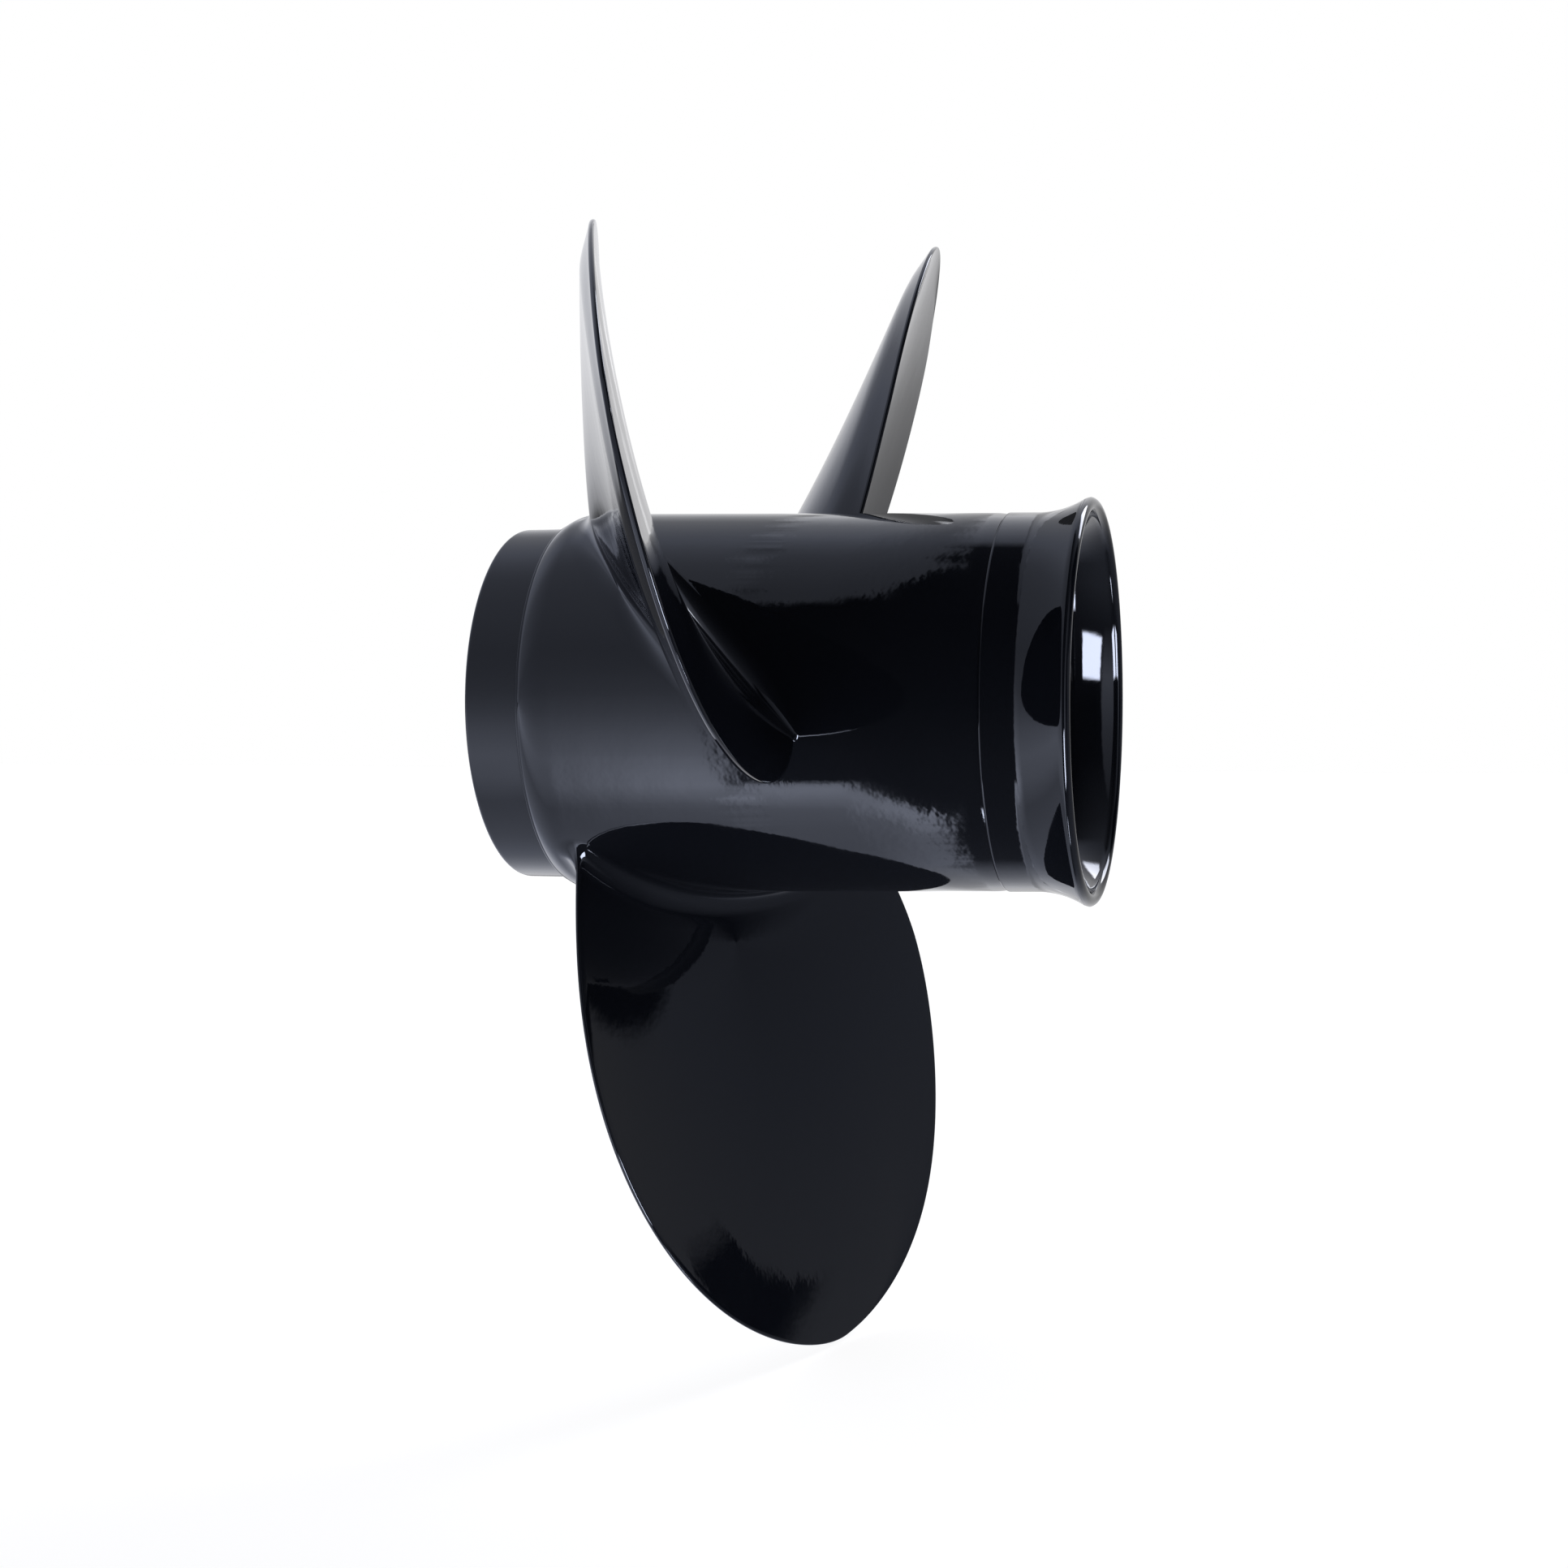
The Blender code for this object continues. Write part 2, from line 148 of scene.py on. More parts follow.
# the lathe's rings show faintly through the coat: they depend on the radius and the place along X
solid = add_node(coat, "ShaderNodeTexCoord").outputs["Object"]
axes = add_node(coat, "ShaderNodeSeparateXYZ", {}, {}, {"Vector": solid})
flat = add_node(coat, "ShaderNodeCombineXYZ", {}, {},
                {"Y": axes.outputs["Y"], "Z": axes.outputs["Z"]})
radius = add_node(coat, "ShaderNodeVectorMath", {"operation": "LENGTH"}, {},
                  {0: flat.outputs["Vector"]})
ring = add_node(coat, "ShaderNodeCombineXYZ", {}, {},
                {"X": axes.outputs["X"], "Y": radius.outputs["Value"]})
rings = add_node(coat, "ShaderNodeTexNoise", {}, {"Scale": 1 / TURNING, "Detail": 2.0},
                 {"Vector": ring.outputs["Vector"]})
cloud = add_node(coat, "ShaderNodeTexNoise", {}, {"Scale": CLOUD_SCALE, "Detail": 2.0},
                 {"Vector": solid})
lathe = add_node(coat, "ShaderNodeBump", {}, {"Strength": 1.0, "Distance": TURNING_HEIGHT},
                 {"Height": rings.outputs["Fac"]})
coat.links.new(lathe.outputs["Normal"], shader.inputs["Normal"])
dull = add_node(coat, "ShaderNodeMapRange", {},
                {"From Min": 0.3, "From Max": 0.7, "To Min": 0.09, "To Max": 0.16},
                {"Value": cloud.outputs["Fac"]})
coat.links.new(dull.outputs["Result"], shader.inputs["Roughness"])

collar_profile = [(COLLAR_END, COLLAR_RADIUS)]
collar_profile += [(FRONT_BREAK + 0.0006, COLLAR_RADIUS)]
collar_profile += arc(FRONT_BREAK, COLLAR_RADIUS - FRONT_BREAK, FRONT_BREAK, 90, 180, 8)
collar_profile += [(0.0, COLLAR_RADIUS - FRONT_BREAK - 0.0004)]
collar_profile += [(0.0, PASSAGE_FRONT + BORE_BREAK)]
collar_profile += arc(BORE_BREAK, PASSAGE_FRONT + BORE_BREAK, BORE_BREAK, 180, 270, 6)
collar_profile += [(COLLAR_END, passage_radius(COLLAR_END))]
collar = turn_on_shaft("register_collar_turned", collar_profile)
finish_piece(collar, satin, "satin_black_paint", "register_collar")


# Barrel: the hollow drum of the casting, with a rounded shoulder behind the collar, a slight
# taper aft and a shallow relief before the flare. Two-stage enamel, baked to a high gloss.

SHOULDER_RADIUS = 0.0403       # top of the shoulder's rounded corner
SHOULDER_CORNER = 0.0006
BARREL_FRONT_X = 0.0180        # the barrel is widest here and tapers aft
BARREL_FRONT_RADIUS = 0.0426
BARREL_AFT_RADIUS = 0.0407
RELIEF_RUN = 0.0032            # the barrel dips by this depth over its last few millimetres
RELIEF_DEPTH = 0.00030


def barrel_radius(x):
    """Outside of the barrel: the shoulder's swell, then the taper aft."""
    if x >= BARREL_FRONT_X:
        run = (x - BARREL_FRONT_X) / (STEP_X - BARREL_FRONT_X)
        return BARREL_FRONT_RADIUS + (BARREL_AFT_RADIUS - BARREL_FRONT_RADIUS) * run
    back = (BARREL_FRONT_X - x) / (BARREL_FRONT_X - COLLAR_END)
    return BARREL_FRONT_RADIUS - (BARREL_FRONT_RADIUS - SHOULDER_RADIUS) * back ** 2


ORANGE_PEEL = 0.0015           # spacing and height of the sprayed coat's texture
PEEL_HEIGHT = 0.0000065
SWELL = 0.0085                 # and of the casting's slow swell under it
SWELL_HEIGHT = 0.000030

gloss = bpy.data.materials.new("gloss_black_enamel")
gloss.use_nodes = True
coat = gloss.node_tree
shader = coat.nodes["Principled BSDF"]
shader.inputs["Base Color"].default_value = linear("#0f1117")
solid = add_node(coat, "ShaderNodeTexCoord").outputs["Object"]
# the sprayed coat never lies quite flat: fine orange peel, over the slow swell of the casting
peel = add_node(coat, "ShaderNodeTexNoise", {},
                {"Scale": 1 / ORANGE_PEEL, "Detail": 1.0, "Roughness": 0.4}, {"Vector": solid})
swell = add_node(coat, "ShaderNodeTexNoise", {},
                 {"Scale": 1 / SWELL, "Detail": 1.0, "Roughness": 0.3}, {"Vector": solid})
casting = add_node(coat, "ShaderNodeBump", {}, {"Strength": 1.0, "Distance": SWELL_HEIGHT},
                   {"Height": swell.outputs["Fac"]})
skin = add_node(coat, "ShaderNodeBump", {}, {"Strength": 1.0, "Distance": PEEL_HEIGHT},
                {"Height": peel.outputs["Fac"], "Normal": casting.outputs["Normal"]})
coat.links.new(skin.outputs["Normal"], shader.inputs["Normal"])
# a faint haze here and there keeps the mirror from being perfect
haze = add_node(coat, "ShaderNodeMapRange", {},
                {"From Min": 0.35, "From Max": 0.7, "To Min": 0.02, "To Max": 0.06},
                {"Value": swell.outputs["Fac"]})
coat.links.new(haze.outputs["Result"], shader.inputs["Roughness"])

barrel_profile = [(STEP_X, passage_radius(STEP_X))]
for share in np.linspace(1, 0, 9):
    x = STEP_X - RELIEF_RUN * (1 - share)
    barrel_profile.append((x, barrel_radius(x) - RELIEF_DEPTH * share ** 2))
for x in np.linspace(STEP_X - RELIEF_RUN - 0.001, BARREL_FRONT_X, 30):
    barrel_profile.append((x, barrel_radius(x)))
corner_x = COLLAR_END + SHOULDER_CORNER
for x in np.linspace(BARREL_FRONT_X, corner_x, 14)[1:-1]:
    barrel_profile.append((x, barrel_radius(x)))
top = barrel_radius(corner_x)
barrel_profile += arc(corner_x, top - SHOULDER_CORNER, SHOULDER_CORNER, 82, 180, 8)
barrel_profile += [(COLLAR_END, COLLAR_RADIUS - 0.0004), (COLLAR_END, passage_radius(COLLAR_END))]
barrel = turn_on_shaft("outer_barrel_cast", barrel_profile)
finish_piece(barrel, gloss, "gloss_black_paint", "outer_barrel")


# Flare: the aft end of the casting, which opens to a rounded lip that lets the exhaust leave
# without drawing it back along the blades. Same casting and same enamel as the barrel.

RING_RADIUS = 0.0408           # plain ring aft of the groove, its front edge and its taper
RING_EDGE = 0.0003
RING_TAPER = 0.0205
FLARE_START_X = 0.1174
LIP_X = 0.1278                 # centre of the rounded lip
LIP_RADIUS = 0.0016
FLARE_RADIUS = 0.0437          # over the lip
FLARE_POWER = 2.1              # how late the flare curls out, outside and inside
MOUTH_POWER = 1.8

flare_profile = arc(LIP_X, FLARE_RADIUS - LIP_RADIUS, LIP_RADIUS, -90, 76, 16)
for share in np.linspace(1, 0, 26):
    x = FLARE_START_X + (LIP_X - FLARE_START_X) * share
    if x < LIP_X - 0.0002:
        start = RING_RADIUS - RING_TAPER * (FLARE_START_X - STEP_X) * (1 - share)
        flare_profile.append((x, start + (FLARE_RADIUS - RING_RADIUS) * share ** FLARE_POWER))
for x in np.linspace(FLARE_START_X, STEP_X + RING_EDGE + 0.0003, 6)[1:]:
    flare_profile.append((x, RING_RADIUS - RING_TAPER * (x - STEP_X)))
flare_profile += arc(STEP_X + RING_EDGE, RING_RADIUS - RING_EDGE, RING_EDGE, 90, 180, 6)
flare_profile += [(STEP_X, PASSAGE_AFT)]
mouth = FLARE_RADIUS - 2 * LIP_RADIUS
for share in np.linspace(0, 1, 20)[:-1]:
    x = FLARE_START_X + (LIP_X - FLARE_START_X) * share
    flare_profile.append((x, PASSAGE_AFT + (mouth - PASSAGE_AFT) * share ** MOUTH_POWER))
flare = turn_on_shaft("exhaust_flare_cast", flare_profile)
finish_piece(flare, gloss, "gloss_black_paint", "exhaust_flare")


# Blades: three broad skewed blades, cast with the barrel, each a helical sheet with a flat
# pressure face and a crowned back, edges ground round and a ground fillet at the root.

BLADES = 3
TIP_RADIUS = 0.1492
PITCH = 0.2542                 # advance in one turn at the root
PITCH_SPAN = 0.0031            # more of it at the tip
PITCH_GROWTH = 0.0193          # how the pitch grows towards the trailing edge
PITCH_EASE = -0.0258           # and how the growth eases at both edges
BLADE_ANGLE = math.radians(69.86)      # first blade's mid-line
BLADE_X = 0.0523                       # its mid-line at the root
RAKE = (0.0768, 0.1706, -0.0930)       # aft lean of the mid-line, a cubic in the height
LEADING = np.radians([51.1, -35.8, 139.7, -266.6, 131.5])      # quartics in the span, root to tip
TRAILING = np.radians([29.3, 37.1, -140.5, 205.5, -91.5])
TIP_SWEEP = math.radians(-0.73)        # turn of the mid-line from root to tip
ROOT_THICKNESS = 0.0061
MIDDLE_BULGE = 0.0020          # extra thickness half-way out
CROWN_POWER = 0.7              # how full the crowned back is
SHEET_THICKNESS = 0.0023       # of the blade near its edges, before they are ground
EDGE_THICKNESS = 0.0010        # of the ground edge, which is rounded
EDGE_GRIND = 0.0100            # how far in the grinding reaches
CUP = 0.0006                   # the trailing edge is bent aft over the last fifth of the chord
CUP_START = 0.8
CUP_RISE = 0.3                 # the cup runs out at the tip, and below this share of the height
FILLET = 0.0060                # at the root
NOSE_FILLET = 0.8              # shares of it at the leading and trailing edges
TAIL_FILLET = 0.12
FILLET_EASE = 0.020            # from each edge to where the fillet is full
FACE_STEPS = 56
EDGE_STEPS = 10
BARE_ROWS = 96                 # sections between the fillet and the tip, and over the tip
TIP_ROWS = 48
TIP_START = 0.86               # share of the span where the closer tip rows begin
ROOT = (BARREL_FRONT_RADIUS + BARREL_AFT_RADIUS) / 2
REACH = TIP_RADIUS - ROOT


def polynomial(factors, span):
    return sum(factor * span ** power for power, factor in enumerate(factors))


def face_point(span, chord):
    """The pressure face, unrolled: along the shaft, round it, the radius, and the turn."""
    rise = np.sin(np.pi * span / 2)
    radius = ROOT + REACH * rise
    close = np.cos(np.pi * span / 2)
    sweep = TIP_SWEEP * span ** 4
    leading = sweep - close * polynomial(LEADING, span)
    trailing = sweep + close * polynomial(TRAILING, span)
    turn = leading + chord * (trailing - leading)
    lean = REACH * (RAKE[0] * rise + RAKE[1] * rise ** 2 + RAKE[2] * rise ** 3)
    pitch = PITCH + PITCH_SPAN * rise
    advance = (pitch * turn + PITCH_GROWTH * turn ** 2 + PITCH_EASE * turn ** 3) / (2 * np.pi)
    bent = np.clip((chord - CUP_START) / (1 - CUP_START), 0.0, 1.0) ** 2
    cup = CUP * bent * np.minimum(rise / CUP_RISE, 1.0) * (1 - span ** 8)
    return BLADE_X + lean + advance + cup, radius * turn, radius, turn


def blade_edge():
    """The edge all round, from the leading root over the tip to the trailing root."""
    spans = np.linspace(-0.08, 1.0, 500)
    leading = np.column_stack(face_point(spans, 0.0)[:3])
    trailing = np.column_stack(face_point(spans, 1.0)[:3])
    return np.concatenate([leading, trailing[::-1]])


def blade_section(span, edge, height=None, skirt=0.0):
    """One closed section: pressure face aft to the trailing edge, crowned back forward.
    Near the root it is swelled by the fillet, which is smaller at the two edges."""
    ends = [np.array(face_point(span, side)[:2]) for side in (0.0, 1.0)]
    length = max(np.linalg.norm(ends[1] - ends[0]), 1e-5)
    across = np.append(ends[1] - ends[0], 0.0) / length
    rims = []
    for side in (0.0, 1.0):
        before = np.array(face_point(span - 0.001, side)[:3])
        after = np.array(face_point(min(span + 0.001, 1.0), side)[:3])
        tangent = (after - before) / np.linalg.norm(after - before)
        slant = math.sqrt(max(1 - float(tangent @ across) ** 2, 1e-4))
        rims.append(min(0.5 * EDGE_THICKNESS / (length * slant), 0.3))
    bend = 1 - np.cos(np.linspace(0, np.pi / 2, EDGE_STEPS + 1))
    ease = np.linspace(0, 1, FACE_STEPS + 1)[1:-1]
    ease = ease - 0.10 * np.sin(2 * np.pi * ease) / (2 * np.pi)
    chord = np.concatenate([rims[0] * bend, rims[0] + (1 - sum(rims)) * ease, 1 - rims[1] * bend[::-1]])
    x, along, radius, turn = face_point(span, chord)
    rise = (radius - ROOT) / REACH
    crown = (ROOT_THICKNESS - SHEET_THICKNESS) * (1 - rise) + MIDDLE_BULGE * 4 * rise * (1 - rise)
    sheet = SHEET_THICKNESS + crown * (4 * chord * (1 - chord)) ** CROWN_POWER
    here = np.column_stack([x, along, np.full_like(x, radius)])
    runs = np.diff(edge, axis=0)
    gaps = here[:, None, :] - edge[None, :-1, :]
    shares = np.clip((gaps * runs).sum(axis=2) / (runs ** 2).sum(axis=1), 0.0, 1.0)
    away = np.linalg.norm(gaps - shares[:, :, None] * runs, axis=2).min(axis=1)
    ground = np.sin(np.pi / 2 * np.clip(away / EDGE_GRIND, 0.0, 1.0))
    full = EDGE_THICKNESS + (sheet - EDGE_THICKNESS) * ground
    inside = np.clip(away / (0.5 * EDGE_THICKNESS), 0.0, 1.0)
    half = 0.5 * full * np.sqrt(1 - (1 - inside) ** 2)
    half[[0, -1]] = 0.0
    advance = PITCH + PITCH_SPAN * rise + 2 * PITCH_GROWTH * turn + 3 * PITCH_EASE * turn ** 2
    slope = np.arctan2(advance, 2 * np.pi * radius)
    normal = np.column_stack([-np.cos(slope), np.sin(slope)])
    middle = np.column_stack([x, along]) + normal * 0.5 * full[:, None]
    loop = np.concatenate([middle - normal * half[:, None], (middle + normal * half[:, None])[-2::-1]])
    if height is not None:
        ring = loop[:-1]
        places = np.concatenate([chord, chord[-2::-1]])[:-1]
        nose = NOSE_FILLET + (1 - NOSE_FILLET) * np.clip(places * length / FILLET_EASE, 0, 1)
        tail = TAIL_FILLET + (1 - TAIL_FILLET) * np.clip((1 - places) * length / FILLET_EASE, 0, 1)
        size = FILLET * nose * np.sin(np.pi / 2 * tail)
        drop = np.clip(size - max(height, 0.0), 0.0, None)
        grow = (size - np.sqrt(size ** 2 - drop ** 2) + skirt)[:, None]
        along_ring = np.roll(ring, -1, axis=0) - np.roll(ring, 1, axis=0)
        outward = np.column_stack([along_ring[:, 1], -along_ring[:, 0]])
        outward /= np.linalg.norm(outward, axis=1)[:, None]
        ring = ring + outward * grow
        loop = np.concatenate([ring, ring[:1]])
    return loop, radius


def blade_rows():
    """Sections from under the barrel's skin, up the fillet and the span, to the tip."""
    edge = blade_edge()
    turns = np.pi / 2 * (1 - np.linspace(0, 1, 21)[1:] ** 1.6)
    low = [(-0.0003, 0.0008), (-0.00002, 0.0002), (0.0, 0.0)]
    low += [(FILLET - FILLET * math.sin(t), 0.0) for t in turns]
    start = 2 / np.pi * np.arcsin(FILLET / REACH)
    spans = start + (TIP_START - start) * np.linspace(0, 1, BARE_ROWS)[1:]
    tip = 1 - (1 - TIP_START) * (1 - np.linspace(0, 1, TIP_ROWS)[1:-1]) ** 1.8
    rows = []
    for height, skirt in low:
        loop, radius = blade_section(2 / np.pi * math.asin(height / REACH), edge, height, skirt)
        rows.append((loop, radius))
    bottom, bottom_radius = rows[0]
    half = (len(bottom) + 1) // 2
    spine = 0.5 * (bottom[:half] + bottom[::-1][:half])
    rows.insert(0, (np.concatenate([spine, spine[-2::-1]]), bottom_radius))
    for span in np.concatenate([spans, tip]):
        rows.append(blade_section(span, edge))
    point, radius = blade_section(1.0, edge)
    rows.append((np.zeros_like(point) + point.mean(axis=0), radius))
    return rows


def wrap_round_shaft(loop, radius, angle):
    """A section in space; near the root its radius follows the barrel's taper."""
    share = (radius - ROOT) / REACH
    own = np.array([radius + (barrel_radius(x) - ROOT) * (1 - share) for x, _ in loop])
    turn = angle + loop[:, 1] / radius
    return np.column_stack([loop[:, 0], -own * np.sin(turn), own * np.cos(turn)])


def bend_grid(name, rows):
    """A flat grid bent so that its rows lie on the given closed loops, its seam merged."""
    count, around = len(rows), len(rows[0])
    deselect()
    bpy.ops.mesh.primitive_grid_add(x_subdivisions=around - 1, y_subdivisions=count - 1, size=1.0)
    piece = bpy.context.object
    piece.name = name
    flat = np.empty(len(piece.data.vertices) * 3)
    piece.data.vertices.foreach_get("co", flat)
    flat = flat.reshape(-1, 3)
    column = np.rint((flat[:, 0] + 0.5) * (around - 1)).astype(int)
    row = np.rint((flat[:, 1] + 0.5) * (count - 1)).astype(int)
    piece.data.vertices.foreach_set("co", np.array(rows)[row, column].ravel())
    bpy.ops.object.mode_set(mode="EDIT")
    bpy.ops.mesh.select_all(action="SELECT")
    bpy.ops.mesh.remove_doubles(threshold=0.0000001)
    bpy.ops.mesh.normals_make_consistent(inside=False)
    bpy.ops.object.mode_set(mode="OBJECT")
    piece.data.name = name
    return piece


sections = blade_rows()
for k in range(BLADES):
    angle = BLADE_ANGLE + 2 * math.pi * k / BLADES
    rows = [wrap_round_shaft(loop, radius, angle) for loop, radius in sections]
    blade = bend_grid(f"blade_{k + 1}_cast", rows)
    finish_piece(blade, gloss, "gloss_black_paint", f"blade_{k + 1}", sharp=100)


# Webs: three radial ribs of the casting that carry the barrel on the inner hub, in the exhaust
# passage. Each has rounded ends to part the flow and a cast fillet where it meets hub and barrel.

HUB_RADIUS = 0.0245            # inner hub, outside
WEBS = 3
WEB_THICKNESS = 0.0050
WEB_FRONT_X = 0.0160
WEB_AFT_X = 0.0880
WEB_FILLET = 0.0028            # where it meets hub and barrel
WEB_NOSE = 0.0019              # round of its front and aft ends
WEB_SINK = 0.0006              # its foot runs this far into the hub, its head half as far into the barrel

GRAIN = 0.0007                 # spacing and height of the mould's sand
GRAIN_HEIGHT = 0.000018
OVERSPRAY_SCALE = 60.0         # patches that the spray reaches more or less, about 17 mm across

sprayed = bpy.data.materials.new("enamel_over_sand_cast_skin")
sprayed.use_nodes = True
coat = sprayed.node_tree
shader = coat.nodes["Principled BSDF"]
shader.inputs["Base Color"].default_value = linear("#0e1013")
solid = add_node(coat, "ShaderNodeTexCoord").outputs["Object"]
# the mould's grain stays under the thin spray that reaches into the passage, and breaks its gloss
grain = add_node(coat, "ShaderNodeTexNoise", {},
                 {"Scale": 1 / GRAIN, "Detail": 3.0, "Roughness": 0.55}, {"Vector": solid})
reach = add_node(coat, "ShaderNodeTexNoise", {}, {"Scale": OVERSPRAY_SCALE, "Detail": 2.0},
                 {"Vector": solid})
rough = add_node(coat, "ShaderNodeBump", {}, {"Strength": 1.0, "Distance": GRAIN_HEIGHT},
                 {"Height": grain.outputs["Fac"]})
coat.links.new(rough.outputs["Normal"], shader.inputs["Normal"])
dull = add_node(coat, "ShaderNodeMapRange", {},
                {"From Min": 0.3, "From Max": 0.7, "To Min": 0.22, "To Max": 0.5},
                {"Value": reach.outputs["Fac"]})
coat.links.new(dull.outputs["Result"], shader.inputs["Roughness"])

foot = HUB_RADIUS - WEB_SINK
head = PASSAGE_AFT + WEB_SINK / 2
wide = WEB_THICKNESS / 2 + WEB_FILLET
side_line = [(wide, foot), (wide, HUB_RADIUS + 0.0001)]
for turn in np.radians(np.linspace(262, 188, 6)):
    side_line.append((wide + WEB_FILLET * math.cos(turn), HUB_RADIUS + WEB_FILLET * (1 + math.sin(turn))))
for turn in np.radians(np.linspace(172, 98, 6)):
    side_line.append((wide + WEB_FILLET * math.cos(turn), PASSAGE_FRONT - WEB_FILLET * (1 - math.sin(turn))))
side_line += [(wide, PASSAGE_FRONT + 0.0001), (wide, head)]
outline = side_line + [(-y, z) for y, z in reversed(side_line)]

deselect()
bpy.ops.mesh.primitive_plane_add(size=0.001, location=(0.0, 0.0, 0.0))
web = bpy.context.object
bpy.ops.object.mode_set(mode="EDIT")
bpy.ops.mesh.select_all(action="SELECT")
bpy.ops.mesh.merge(type="CENTER")
y, z = outline[0]
bpy.ops.transform.translate(value=(WEB_FRONT_X, y, z))
for next_y, next_z in outline[1:]:
    bpy.ops.mesh.extrude_vertices_move(
        TRANSFORM_OT_translate={"value": (0.0, next_y - y, next_z - z)})
    y, z = next_y, next_z
bpy.ops.mesh.select_all(action="SELECT")
bpy.ops.mesh.edge_face_add()
bpy.ops.mesh.extrude_region_move(
    TRANSFORM_OT_translate={"value": (WEB_AFT_X - WEB_FRONT_X, 0.0, 0.0)})
bpy.ops.mesh.select_all(action="SELECT")
bpy.ops.mesh.normals_make_consistent(inside=False)
bpy.ops.mesh.select_mode(type="EDGE")
bpy.ops.mesh.select_all(action="DESELECT")
bpy.ops.object.mode_set(mode="OBJECT")
for edge in web.data.edges:
    ends = [web.data.vertices[v].co for v in edge.vertices]
    edge.select = abs(ends[0].x - ends[1].x) < 1e-6
bpy.ops.object.mode_set(mode="EDIT")
bpy.ops.mesh.bevel(offset=WEB_NOSE, segments=6, profile=0.5, affect="EDGES", clamp_overlap=True)
bpy.ops.mesh.select_mode(type="VERT")
bpy.ops.mesh.select_all(action="SELECT")
bpy.ops.mesh.remove_doubles(threshold=0.00001)
bpy.ops.mesh.normals_make_consistent(inside=False)
bpy.ops.object.mode_set(mode="OBJECT")

for k in range(WEBS):
    rib = web
    if k:
        rib = web.copy()
        rib.data = web.data.copy()
        bpy.context.scene.collection.objects.link(rib)
        rib.data.transform(Matrix.Rotation(2 * math.pi * k / WEBS, 4, "X"))
    rib.name = f"web_{k + 1}_cast"
    rib.data.name = rib.name
    finish_piece(rib, sprayed, "gloss_black_paint", f"web_{k + 1}")


# Inner hub: the casting's core, a plain tube bored for the rubber bush, its edges broken and its
# end faces turned. The bore and the passage get only thin overspray.

HUB_BORE = 0.0205              # that the bush is pressed into
HUB_FRONT_X = 0.0060
HUB_AFT_X = 0.0960
HUB_NOSE = 0.0016              # rounded front edge, which meets the exhaust

hub_profile = arc(HUB_AFT_X - BORE_BREAK, HUB_RADIUS - BORE_BREAK, BORE_BREAK, 0, 90, 5)
hub_profile += [(HUB_AFT_X - 0.004, HUB_RADIUS), (HUB_FRONT_X + 0.004, HUB_RADIUS)]
hub_profile += arc(HUB_FRONT_X + HUB_NOSE, HUB_RADIUS - HUB_NOSE, HUB_NOSE, 90, 180, 8)
hub_profile += [(HUB_FRONT_X, HUB_BORE + BORE_BREAK), (HUB_FRONT_X + BORE_BREAK, HUB_BORE)]
hub_profile += [(HUB_AFT_X - BORE_BREAK, HUB_BORE), (HUB_AFT_X, HUB_BORE + BORE_BREAK)]
hub = turn_on_shaft("inner_hub_cast", hub_profile, around=160)
finish_piece(hub, sprayed, "gloss_black_paint", "inner_hub")


# Rubber bush: a ring of black nitrile rubber bonded to the sleeve and pressed into the hub, so
# that the blades can slip if they strike. Moulded, its end faces dished between two lips.

SLEEVE_RADIUS = 0.0150
BUSH_FRONT_X = 0.0110
BUSH_AFT_X = 0.0900
BUSH_CUP = 0.0012              # dish of its end faces
BUSH_FIT = 0.00002             # it stands this far off hub and sleeve, so that no two faces coincide
BLOOM_SCALE = 140.0            # patches of mould release, about 7 mm across
PORE_SCALE = 2500.0            # the moulded skin's pores, 0.4 mm apart
PORE_DEPTH = 0.00001

rubber = bpy.data.materials.new("moulded_nitrile_rubber")
rubber.use_nodes = True
compound = rubber.node_tree
shader = compound.nodes["Principled BSDF"]
shader.inputs["Specular IOR Level"].default_value = 0.35
solid = add_node(compound, "ShaderNodeTexCoord").outputs["Object"]
# a grey bloom of mould release dulls the black in patches
bloom = add_node(compound, "ShaderNodeTexNoise", {}, {"Scale": BLOOM_SCALE, "Detail": 3.0},
                 {"Vector": solid})
shade = add_node(compound, "ShaderNodeMix", {"data_type": "RGBA"},
                 {"A": linear("#1a1a1b"), "B": linear("#2a2a2c")}, {"Factor": bloom.outputs["Fac"]})
compound.links.new(shade.outputs["Result"], shader.inputs["Base Color"])
dull = add_node(compound, "ShaderNodeMapRange", {}, {"To Min": 0.55, "To Max": 0.85},
                {"Value": bloom.outputs["Fac"]})
compound.links.new(dull.outputs["Result"], shader.inputs["Roughness"])
pores = add_node(compound, "ShaderNodeTexNoise", {}, {"Scale": PORE_SCALE, "Detail": 2.0},
                 {"Vector": solid})
matt = add_node(compound, "ShaderNodeBump", {}, {"Strength": 1.0, "Distance": PORE_DEPTH},
                {"Height": pores.outputs["Fac"]})
compound.links.new(matt.outputs["Normal"], shader.inputs["Normal"])

outer = HUB_BORE - BUSH_FIT
inner = SLEEVE_RADIUS + BUSH_FIT
bush_profile = []
for share in np.linspace(0, 1, 13):
    dish = BUSH_CUP * math.sin(math.pi * share)
    bush_profile.append((BUSH_AFT_X - dish, inner + (outer - inner) * share))
for share in np.linspace(1, 0, 13):
    dish = BUSH_CUP * math.sin(math.pi * share)
    bush_profile.append((BUSH_FRONT_X + dish, inner + (outer - inner) * share))
bush = turn_on_shaft("rubber_bush_moulded", bush_profile, around=128)
finish_piece(bush, rubber, "bush_rubber", "rubber_bush")


# Splined sleeve: a brass tube turned from bar and broached with thirteen spaces, which slides on
# the propeller shaft. Its forward mouth is coned to seat on the thrust washer.

